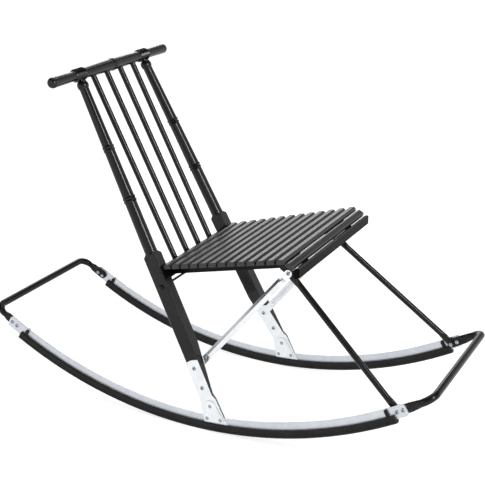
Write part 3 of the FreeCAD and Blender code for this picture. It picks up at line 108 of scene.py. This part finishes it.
class Shader(Nodes):
    """A material and the patterns that its surface is made of."""

    def __init__(self, name):
        self.material = bpy.data.materials.new(name)
        super().__init__(self.material)
        self.surface = self.tree.nodes["Principled BSDF"]

    def feed(self, **values):
        """Values or node outputs for the surface, with _ for a space in a socket's name."""
        for name, value in values.items():
            self.give(value, self.surface.inputs[name.replace("_", " ")])

    def place(self, rotation=LEVEL, stretch=EVEN):
        """Position on the object in turned axes, then stretched."""
        spot = self.add("ShaderNodeTexCoord").outputs["Object"]
        inputs = {"Vector": spot, "Rotation": rotation, "Scale": [1 / part for part in stretch]}
        return self.add("ShaderNodeMapping", inputs, vector_type="TEXTURE").outputs["Vector"]

    def noise(self, place, scale, detail, roughness=0.55):
        inputs = {"Vector": place, "Scale": scale, "Detail": detail, "Roughness": roughness}
        return self.add("ShaderNodeTexNoise", inputs).outputs["Fac"]

    def ramp(self, value, *stops):
        """Colour between two stops along a value from 0 to 1."""
        node = self.add("ShaderNodeValToRGB", {"Fac": value})
        for element, (position, colour) in zip(node.color_ramp.elements, stops):
            element.position = position
            element.color = (*colour, 1.0)
        return node.outputs["Color"]

    def mix(self, share, first, second):
        """Blend of two colours."""
        node = self.add("ShaderNodeMix", data_type="RGBA")
        for name, value in (("Factor", share), ("A", first), ("B", second)):
            socket = next(item for item in node.inputs if item.name == name and item.enabled)
            self.give((*value, 1.0) if isinstance(value, tuple) else value, socket)
        return next(item for item in node.outputs if item.enabled)

    def soft_edges(self, radius):
        return self.add("ShaderNodeBevel", {"Radius": radius}, samples=EDGE_SAMPLES).outputs["Normal"]

    def edge_colour(self, rounded, colour, edge_tone):
        """A colour that turns into an edge tone along rounded edges, as painted highlight on lacquer and
        painted shade on zinc.
        """
        normal = self.add("ShaderNodeNewGeometry").outputs["Normal"]
        dot = self.add("ShaderNodeVectorMath", {0: normal, 1: rounded}, operation="DOT_PRODUCT")
        edge = self.span(dot.outputs["Value"], 0.0, 1.0, start=EDGE_START, end=EDGE_FULL)
        return self.mix(edge, colour, edge_tone)

    def painted_gap_shade(self, reach):
        """Share for painted shade: 1 in the open, falling to 0 in gaps and corners."""
        node = self.add("ShaderNodeAmbientOcclusion", {"Distance": reach}, samples=GAP_SAMPLES)
        return node.outputs["AO"]

    def bump(self, height, strength, distance, normal):
        inputs = {"Height": height, "Strength": strength, "Distance": distance, "Normal": normal}
        return self.add("ShaderNodeBump", inputs).outputs["Normal"]


# Materials

# Stretch of the grain in each direction
ACROSS = (260.0, 7.0, 260.0)
UPRIGHT = (240.0, 240.0, 7.0)
LENGTHWISE = (7.0, 260.0, 260.0)

# Lacquers, each as a dark tone, a light tone and a brown one
BLACK = ((0.0025, 0.0025, 0.0026), (0.0055, 0.0051, 0.005), (0.0105, 0.0073, 0.0055))
BROWN_BLACK = ((0.002, 0.0017, 0.0015), (0.008, 0.0068, 0.0057), (0.013, 0.0094, 0.0065))
# The slats' tones are lighter than the other lacquers as painted sheen
SLAT_SHEEN_BLACK = ((0.004, 0.0039, 0.004), (0.02, 0.0193, 0.02), (0.02, 0.0175, 0.0165))

SHEET_TINT = (0.82, 0.845, 0.87)
BAR_TINT = (0.6, 0.63, 0.67)
FASTENER_TINT = (0.38, 0.395, 0.41)
ENAMEL_DARK = (0.004, 0.004, 0.0042)
ENAMEL_LIGHT = (0.009, 0.009, 0.0095)
ENAMEL_EDGE = (0.03, 0.03, 0.031)
RUBBER_DARK = (0.007, 0.007, 0.0075)
RUBBER_DUSTY = (0.02, 0.0195, 0.0195)
RUBBER_EDGE = (0.04, 0.039, 0.038)


def scaled(colour, factor):
    return tuple(factor * part for part in colour)


def lacquered_wood(name, rotation, stretch, tones, roughness, shine, gap):
    """Black lacquer over open grain that runs along one direction, with painted shade in gaps of a given
    width.
    """
    dark, light, brown = tones
    shader = Shader(name)
    along = shader.place(rotation, stretch)
    grain = shader.noise(along, scale=1.0, detail=6.0, roughness=0.62)
    pores = shader.noise(along, scale=3.4, detail=3.0, roughness=0.7)
    cloud = shader.noise(shader.place(), scale=9.0, detail=3.0)
    base = shader.ramp(grain, (0.3, dark), (0.72, light))
    warm = shader.ramp(cloud, (0.45, BLANK), (0.8, FULL))
    rounded = shader.soft_edges(radius=0.0011)
    # Rounded edges turn lighter as painted highlight
    colour = shader.edge_colour(rounded, shader.mix(warm, base, brown), scaled(light, 2.1))
    # Gaps and corners turn darker as painted shade
    shader.feed(
        Base_Color=shader.mix(shader.painted_gap_shade(gap), dark, colour),
        Roughness=shader.span(grain, low=roughness - 0.06, high=roughness + 0.08),
        Normal=shader.bump(pores, strength=0.2, distance=0.0005, normal=rounded),
        IOR=1.5,
        Specular_IOR_Level=shine,
    )
    return shader.material


def zinc_plate(name, tint):
    """Bright plated sheet with faint clouds, painted shade along its edges and a fine tooth."""
    shader = Shader(name)
    everywhere = shader.place()
    cloud = shader.noise(everywhere, scale=38.0, detail=5.0, roughness=0.6)
    fine = shader.noise(everywhere, scale=900.0, detail=2.0)
    base = shader.ramp(cloud, (0.3, scaled(tint, 0.88)), (0.65, tint))
    rounded = shader.soft_edges(radius=0.0007)
    # Rounded edges turn darker as painted shade
    shader.feed(
        Base_Color=shader.edge_colour(rounded, base, scaled(tint, 0.62)),
        Roughness=shader.span(cloud, low=0.3, high=0.44),
        Normal=shader.bump(fine, strength=0.04, distance=0.0002, normal=rounded),
        Metallic=1.0,
    )
    return shader.material


def black_enamel():
    """Stove enamel on tube and plate, a little uneven, lighter along rounded edges."""
    shader = Shader("black_enamel")
    everywhere = shader.place()
    peel = shader.noise(everywhere, scale=420.0, detail=2.0)
    cloud = shader.noise(everywhere, scale=26.0, detail=4.0)
    base = shader.ramp(cloud, (0.3, ENAMEL_DARK), (0.75, ENAMEL_LIGHT))
    rounded = shader.soft_edges(radius=0.0008)
    shader.feed(
        Base_Color=shader.edge_colour(rounded, base, ENAMEL_EDGE),
        Roughness=shader.span(cloud, low=0.14, high=0.26),
        Normal=shader.bump(peel, strength=0.05, distance=0.0003, normal=rounded),
        IOR=1.5,
        Specular_IOR_Level=0.2,
    )
    return shader.material


def tread_rubber():
    """Matt rubber with fine pits and a dusty bloom."""
    shader = Shader("tread_rubber")
    everywhere = shader.place()
    pits = shader.noise(everywhere, scale=640.0, detail=3.0)
    dust = shader.noise(everywhere, scale=17.0, detail=6.0, roughness=0.65)
    base = shader.ramp(dust, (0.35, RUBBER_DARK), (0.8, RUBBER_DUSTY))
    rounded = shader.soft_edges(radius=0.0009)
    shader.feed(
        Base_Color=shader.edge_colour(rounded, base, RUBBER_EDGE),
        Roughness=shader.span(dust, low=0.48, high=0.68),
        Normal=shader.bump(pits, strength=0.18, distance=0.0004, normal=rounded),
        IOR=1.45,
        Specular_IOR_Level=0.22,
    )
    return shader.material


def lean(angle):
    """Rotation of the grain in a piece that leans back by an angle."""
    return (0.0, -angle, 0.0)


back_wood = lacquered_wood(
    "lacquer_back", lean(RAKE), UPRIGHT, BLACK, roughness=0.18, shine=0.28, gap=0.002
)
crest_wood = lacquered_wood(
    "lacquer_crest", LEVEL, ACROSS, BLACK, roughness=0.22, shine=0.3, gap=0.0015
)
cross_wood = lacquered_wood(
    "lacquer_cross", LEVEL, ACROSS, BROWN_BLACK, roughness=0.34, shine=0.02, gap=0.03
)
slat_wood = lacquered_wood(
    "lacquer_slats", LEVEL, ACROSS, SLAT_SHEEN_BLACK, roughness=0.3, shine=0.5, gap=0.03
)
side_wood = lacquered_wood(
    "lacquer_sides", lean(SEAT_SLOPE), LENGTHWISE, BLACK, roughness=0.3, shine=0.1, gap=0.03
)
zinc = zinc_plate("zinc_sheet", SHEET_TINT)
zinc_bars = zinc_plate("zinc_bars", BAR_TINT)
zinc_parts = zinc_plate("zinc_fasteners", FASTENER_TINT)
enamel = black_enamel()
rubber = tread_rubber()

FASTENERS = ("bar_bolts", "bar_nuts", "seat_bolts", "seat_nuts", "leg_bolts", "shoe_bolts", "shoe_rivets")
FINISHES = (
    (FASTENERS, zinc_parts),
    (("post", "spindle"), back_wood),
    (("seat_slat", "seat_nosing"), slat_wood),
    (("seat_side",), side_wood),
    (("brace", "shoe_plate"), zinc),
    (("rocker_bar",), zinc_bars),
    (("rocker_tread", "tread_pins"), rubber),
    (("crest",), crest_wood),
    (("seat_rear", "seat_front"), cross_wood),
)


def finish_of(name):
    """The finish of a piece, by how its name starts."""
    for starts, finish in FINISHES:
        if name.startswith(starts):
            return finish
    return enamel


# Object helpers

SHARP_ANGLE = math.radians(38.0)
MERGE_DISTANCE = 1e-6


def add_object(name, data):
    thing = bpy.data.objects.new(name, data)
    bpy.context.collection.objects.link(thing)
    return thing


def add_piece(name, mesh, finishes, node=None, smooth=True):
    """Make a mesh a piece of the chair, in place of a CAD node where one is named."""
    for face in mesh.faces:
        face.smooth = smooth
    data = bpy.data.meshes.new(name)
    mesh.to_mesh(data)
    mesh.free()
    if smooth:
        data.set_sharp_from_angle(angle=SHARP_ANGLE)
    for finish in finishes:
        data.materials.append(finish)
    piece = add_object(name, data)
    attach(piece, "root")
    if node is not None:
        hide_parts(node)


def node_mesh(node):
    """Editable copy of a CAD piece with its points joined."""
    mesh = bmesh.new()
    mesh.from_mesh(nodes[node].data)
    bmesh.ops.remove_doubles(mesh, verts=mesh.verts, dist=MERGE_DISTANCE)
    return mesh


# Button heads, cap nuts and bolt ends

HEAD_RADIUS = 0.0054
HEAD_HEIGHT = 0.0026
SCREW_HEAD_RADIUS = 0.0038
SCREW_HEAD_HEIGHT = 0.0016
CAP_RADIUS = 0.0075
CAP_HEIGHT = 0.0055
SHANK_RADIUS = 0.003
TAIL_LENGTH = 0.0056
TAIL_EASE = 0.0006
SOCKET_RADIUS = 0.0022
SOCKET_DEPTH = 0.0013
RIM_SHARE = 0.2
CROWN_SHARE = 0.06
DOME_STEPS = 7
TURNED_SIDES = 24
PRISM_SIDES = 12
FLAT_ANGLE = math.radians(1.0)
AREA_TOLERANCE = 0.03


def end_faces(node, radius):
    """Middle and outward direction of the even flat faces of a given radius on a CAD piece."""
    mesh = node_mesh(node)
    bmesh.ops.dissolve_limit(mesh, angle_limit=FLAT_ANGLE, verts=mesh.verts, edges=mesh.edges)
    area = PRISM_SIDES / 2 * radius * radius * math.sin(2 * math.pi / PRISM_SIDES)
    found = []
    for face in mesh.faces:
        if abs(face.calc_area() - area) < AREA_TOLERANCE * area:
            found.append((face.calc_center_median(), face.normal.copy()))
    mesh.free()
    return found


def hexagon_reach(angle):
    """Distance from the middle of a hexagon to its side, as a share of its corner radius."""
    sixth = math.pi / 3
    return math.cos(sixth / 2) / math.cos(angle % sixth - sixth / 2)


def turned(mesh, seat, way, profile, socket_from=None):
    """Ring by ring, a piece turned about the line that leaves a seat one way. Rings from socket_from on
    are six-sided and take the second material, whose black is painted shade in the socket."""
    turn = Matrix.Translation(seat) @ way.to_track_quat("Z", "X").to_matrix().to_4x4()
    rings = []
    for k, (radius, height) in enumerate(profile):
        six_sided = socket_from is not None and k >= socket_from
        ring = []
        for step in range(TURNED_SIDES):
            angle = 2 * math.pi * step / TURNED_SIDES
            reach = radius * hexagon_reach(angle) if six_sided else radius
            spot = Vector((reach * math.cos(angle), reach * math.sin(angle), height))
            ring.append(mesh.verts.new(turn @ spot))
        rings.append(ring)
    for k, (lower, upper) in enumerate(zip(rings, rings[1:])):
        for step in range(TURNED_SIDES):
            after = (step + 1) % TURNED_SIDES
            face = mesh.faces.new((lower[step], lower[after], upper[after], upper[step]))
            face.material_index = int(socket_from is not None and k >= socket_from)
    mesh.faces.new(rings[-1]).material_index = int(socket_from is not None)
    mesh.faces.new(reversed(rings[0]))


def dome_profile(radius, height, flat):
    """Button from its short straight rim up to its crown, which can end in a flat."""
    rim = RIM_SHARE * height
    points = [(radius, 0.0)]
    for step in range(DOME_STEPS):
        angle = math.pi / 2 * step / DOME_STEPS
        points.append((flat + (radius - flat) * math.cos(angle), rim + (height - rim) * math.sin(angle)))
    points.append((max(flat, CROWN_SHARE * radius), height))
    return points


def fastener_piece(node, radius, height, finish, socket=False, tails=False):
    """Round heads and bolt ends that stand for the plain CAD fasteners, in the same places."""
    mesh = bmesh.new()
    for middle, way in end_faces(node, radius):
        profile = dome_profile(radius, height, SOCKET_RADIUS if socket else 0.0)
        inner = None
        if socket:
            inner = len(profile)
            profile.append((SOCKET_RADIUS, height))
            profile.append((SOCKET_RADIUS, height - SOCKET_DEPTH))
        turned(mesh, middle - way * height, way, profile, inner)
    if tails:
        for middle, way in end_faces(node, SHANK_RADIUS):
            profile = [(SHANK_RADIUS, 0.0), (SHANK_RADIUS, TAIL_LENGTH - TAIL_EASE)]
            profile.append((SHANK_RADIUS - TAIL_EASE, TAIL_LENGTH))
            turned(mesh, middle - way * TAIL_LENGTH, way, profile)
    bmesh.ops.recalc_face_normals(mesh, faces=mesh.faces)
    # The sockets take black enamel as painted shade
    add_piece(node + "_heads", mesh, (finish, enamel), node)


# Raised faces on the shoes' feet

FOOT_TOP_RADIUS = 0.0165
FOOT_CORNER_RADIUS = 0.0085
FOOT_RISE = 0.0012
FOOT_SINK = 0.0003
CORNER_SIDES = 40


def circle_points(middle, radius):
    """Points of a circle across Y, as X and Z."""
    angles = [2 * math.pi * step / CORNER_SIDES for step in range(CORNER_SIDES)]
    return [(middle.x + radius * math.cos(angle), middle.z + radius * math.sin(angle)) for angle in angles]


def foot_faces():
    """Thin round-topped faces on both sides of each shoe's foot, around its bolt and rivets, their rims in
    darker zinc as painted shade.
    """
    mesh = bmesh.new()
    rivets = end_faces("shoe_rivets", HEAD_RADIUS)
    for bolt, way in end_faces("shoe_bolts", HEAD_RADIUS):
        points = circle_points(bolt, FOOT_TOP_RADIUS)
        for rivet, out in rivets:
            if abs(rivet.y - bolt.y) < FOOT_TOP_RADIUS and out.dot(way) > 0:
                points += circle_points(rivet, FOOT_CORNER_RADIUS)
        outline = [points[k] for k in convex_hull_2d(points)]
        seat = bolt.y - way.y * HEAD_HEIGHT
        rings = []
        for level in (-FOOT_SINK, FOOT_RISE):
            rings.append([mesh.verts.new((x, seat + way.y * level, z)) for x, z in outline])
        inner, outer = rings
        mesh.faces.new(outer)
        mesh.faces.new(reversed(inner))
        # The rims take the darker fastener zinc as painted shade
        for k in range(len(outline)):
            after = (k + 1) % len(outline)
            mesh.faces.new((inner[k], inner[after], outer[after], outer[k])).material_index = 1
    bmesh.ops.recalc_face_normals(mesh, faces=mesh.faces)
    add_piece("shoe_foot_faces", mesh, (zinc, zinc_parts), smooth=False)


# Tubes, a little thicker between their flat ends

BAR_GROWTH = 0.002
STAY_GROWTH = 0.0017
BAR_FLAT = 0.046
STAY_FLAT = 0.016
TUBE_EASE = 0.024


def eased(value):
    """0 below 0, 1 above 1 and a smooth rise between."""
    value = min(max(value, 0.0), 1.0)
    return value * value * (3 - 2 * value)


def bar_moves(verts):
    """Growth of a cross bar's tube, kept inside its outer edge."""
    first = min(abs(vert.co.x) for vert in verts)
    moves = []
    for vert in verts:
        share = eased((abs(vert.co.x) - first - BAR_FLAT) / TUBE_EASE)
        outward = Vector((math.copysign(1.0, vert.co.x), 0.0, 0.0))
        moves.append(BAR_GROWTH * share * (vert.normal - outward))
    return moves


def stay_moves(verts):
    """Growth of a stay's tube between its two flat ends."""
    top = max(verts, key=lambda vert: vert.co.z).co
    foot = min(verts, key=lambda vert: vert.co.z).co
    axis = (foot - top).normalized()
    length = (foot - top).length
    moves = []
    for vert in verts:
        along = (vert.co - top).dot(axis)
        share = eased((min(along, length - along) - STAY_FLAT) / TUBE_EASE)
        moves.append(STAY_GROWTH * share * vert.normal)
    return moves


def thickened(node, moves_of):
    """Copy of a CAD tube with its points moved."""
    mesh = node_mesh(node)
    mesh.normal_update()
    verts = list(mesh.verts)
    for vert, move in zip(verts, moves_of(verts)):
        vert.co += move
    add_piece(node + "_tube", mesh, (enamel,), node)


for name, thing in nodes.items():
    finish = finish_of(name)
    if not thing.material_slots:
        thing.data.materials.append(finish)
    for slot in thing.material_slots:
        slot.material = finish

fastener_piece("bar_bolts", HEAD_RADIUS, HEAD_HEIGHT, zinc_parts, socket=True, tails=True)
fastener_piece("seat_bolts", HEAD_RADIUS, HEAD_HEIGHT, zinc_parts, socket=True, tails=True)
fastener_piece("leg_bolts", HEAD_RADIUS, HEAD_HEIGHT, zinc_parts, socket=True)
fastener_piece("shoe_bolts", HEAD_RADIUS, HEAD_HEIGHT, zinc_parts)
fastener_piece("shoe_rivets", HEAD_RADIUS, HEAD_HEIGHT, zinc_parts)
fastener_piece("bracket_screws", SCREW_HEAD_RADIUS, SCREW_HEAD_HEIGHT, enamel)
fastener_piece("tie_rod_nuts", CAP_RADIUS, CAP_HEIGHT, enamel)
foot_faces()
for name in ("front_bar", "rear_bar"):
    thickened(name, bar_moves)
for name in ("front_stay_left", "front_stay_right"):
    thickened(name, stay_moves)


# Floor, light and camera

WHITE = (1.0, 1.0, 1.0, 1.0)
FLOOR_REACH = 40.0
FLOOR_COLOUR = (0.93, 0.93, 0.93, 1.0)
FLOOR_ROUGHNESS = 0.9
FLOOR_SHINE = 0.1

# Glow of the floor, which rises between two distances from the chair
GLOW_SHARE = 0.4
GLOW_NEAR = 1.75
GLOW_FAR = 2.45
NEAR_DISTANCE = 0.8
FAR_DISTANCE = 1.8

# Studio walls and ceiling, which meet between two heights given as sines of the angle above the horizon
AMBIENT_LEVEL = 0.8
WALL_LEVEL = 1.0
CEILING_LEVEL = 0.12
WALL_TOP = 0.3
CEILING_EDGE = 0.55

# Lamps as name, place, width, height and power, all turned to the chair's middle
MIDDLE = Vector((0.0, 0.0, 0.4))
LAMPS = (
    ("overhead", Vector((-0.6, 0.9, 2.9)), 2.4, 2.4, 22.0),
    ("viewer_side", Vector((-1.2, -3.0, 1.9)), 1.8, 1.8, 20.0),
    ("window", Vector((2.8, -0.9, 2.0)), 0.7, 1.8, 84.0),
    ("backdrop", Vector((-1.75, 3.1, 1.9)), 2.6, 0.9, 26.0),
)


def aim(thing, at, target):
    """Put a camera or lamp at a place and point it at a target."""
    thing.location = at
    thing.rotation_euler = (target - at).to_track_quat("-Z", "Y").to_euler()


def floor():
    """Wide pale ground that stays white to the eye and keeps the chair's shadow."""
    mesh = bpy.data.meshes.new("floor")
    reach = FLOOR_REACH
    corners = [(-reach, -reach, 0), (reach, -reach, 0), (reach, reach, 0), (-reach, reach, 0)]
    mesh.from_pydata(corners, [], [(0, 1, 2, 3)])
    ground = add_object("floor", mesh)
    paper = Shader("floor_paper")
    paper.feed(Base_Color=FLOOR_COLOUR, Roughness=FLOOR_ROUGHNESS, Specular_IOR_Level=FLOOR_SHINE)
    spot = paper.add("ShaderNodeTexCoord").outputs["Object"]
    distance = paper.add("ShaderNodeVectorMath", {0: spot}, operation="LENGTH").outputs["Value"]
    level = paper.span(distance, GLOW_NEAR, GLOW_FAR, start=NEAR_DISTANCE, end=FAR_DISTANCE)
    glow = paper.add("ShaderNodeEmission", {"Strength": level}).outputs["Emission"]
    share = paper.combine("MULTIPLY", paper.seen_directly(), GLOW_SHARE)
    plain = paper.surface.outputs["BSDF"]
    blend = paper.add("ShaderNodeMixShader", {"Fac": share, 1: plain, 2: glow})
    paper.give(blend.outputs["Shader"], paper.tree.nodes["Material Output"].inputs["Surface"])
    mesh.materials.append(paper.material)


def surroundings():
    """White walls under a dark ceiling in reflections, giving an even light of a lower level."""
    world = bpy.data.worlds.new("studio")
    bpy.context.scene.world = world
    studio = Nodes(world)
    strength = studio.span(studio.seen_directly(), AMBIENT_LEVEL, 1.0)
    direction = studio.add("ShaderNodeTexCoord").outputs["Generated"]
    height = studio.add("ShaderNodeSeparateXYZ", {"Vector": direction}).outputs["Z"]
    shade = studio.span(height, WALL_LEVEL, CEILING_LEVEL, start=WALL_TOP, end=CEILING_EDGE)
    background = studio.tree.nodes["Background"]
    studio.give(WHITE, background.inputs["Color"])
    studio.give(studio.combine("MULTIPLY", strength, shade), background.inputs["Strength"])


def softbox(name, at, width, height, power):
    lamp = bpy.data.lights.new(name, "AREA")
    lamp.shape = "RECTANGLE"
    lamp.size = width
    lamp.size_y = height
    lamp.energy = power
    aim(add_object(name, lamp), at, MIDDLE)


def camera():
    lens = bpy.data.cameras.new("camera")
    lens.sensor_width = SENSOR
    lens.lens = FOCAL_PIXELS / IMAGE * SENSOR
    thing = add_object("camera", lens)
    aim(thing, CAMERA_AT, CAMERA_AIM)
    bpy.context.scene.camera = thing


floor()
surroundings()
for lamp in LAMPS:
    softbox(*lamp)
camera()
bpy.context.scene.view_settings.view_transform = "Standard"
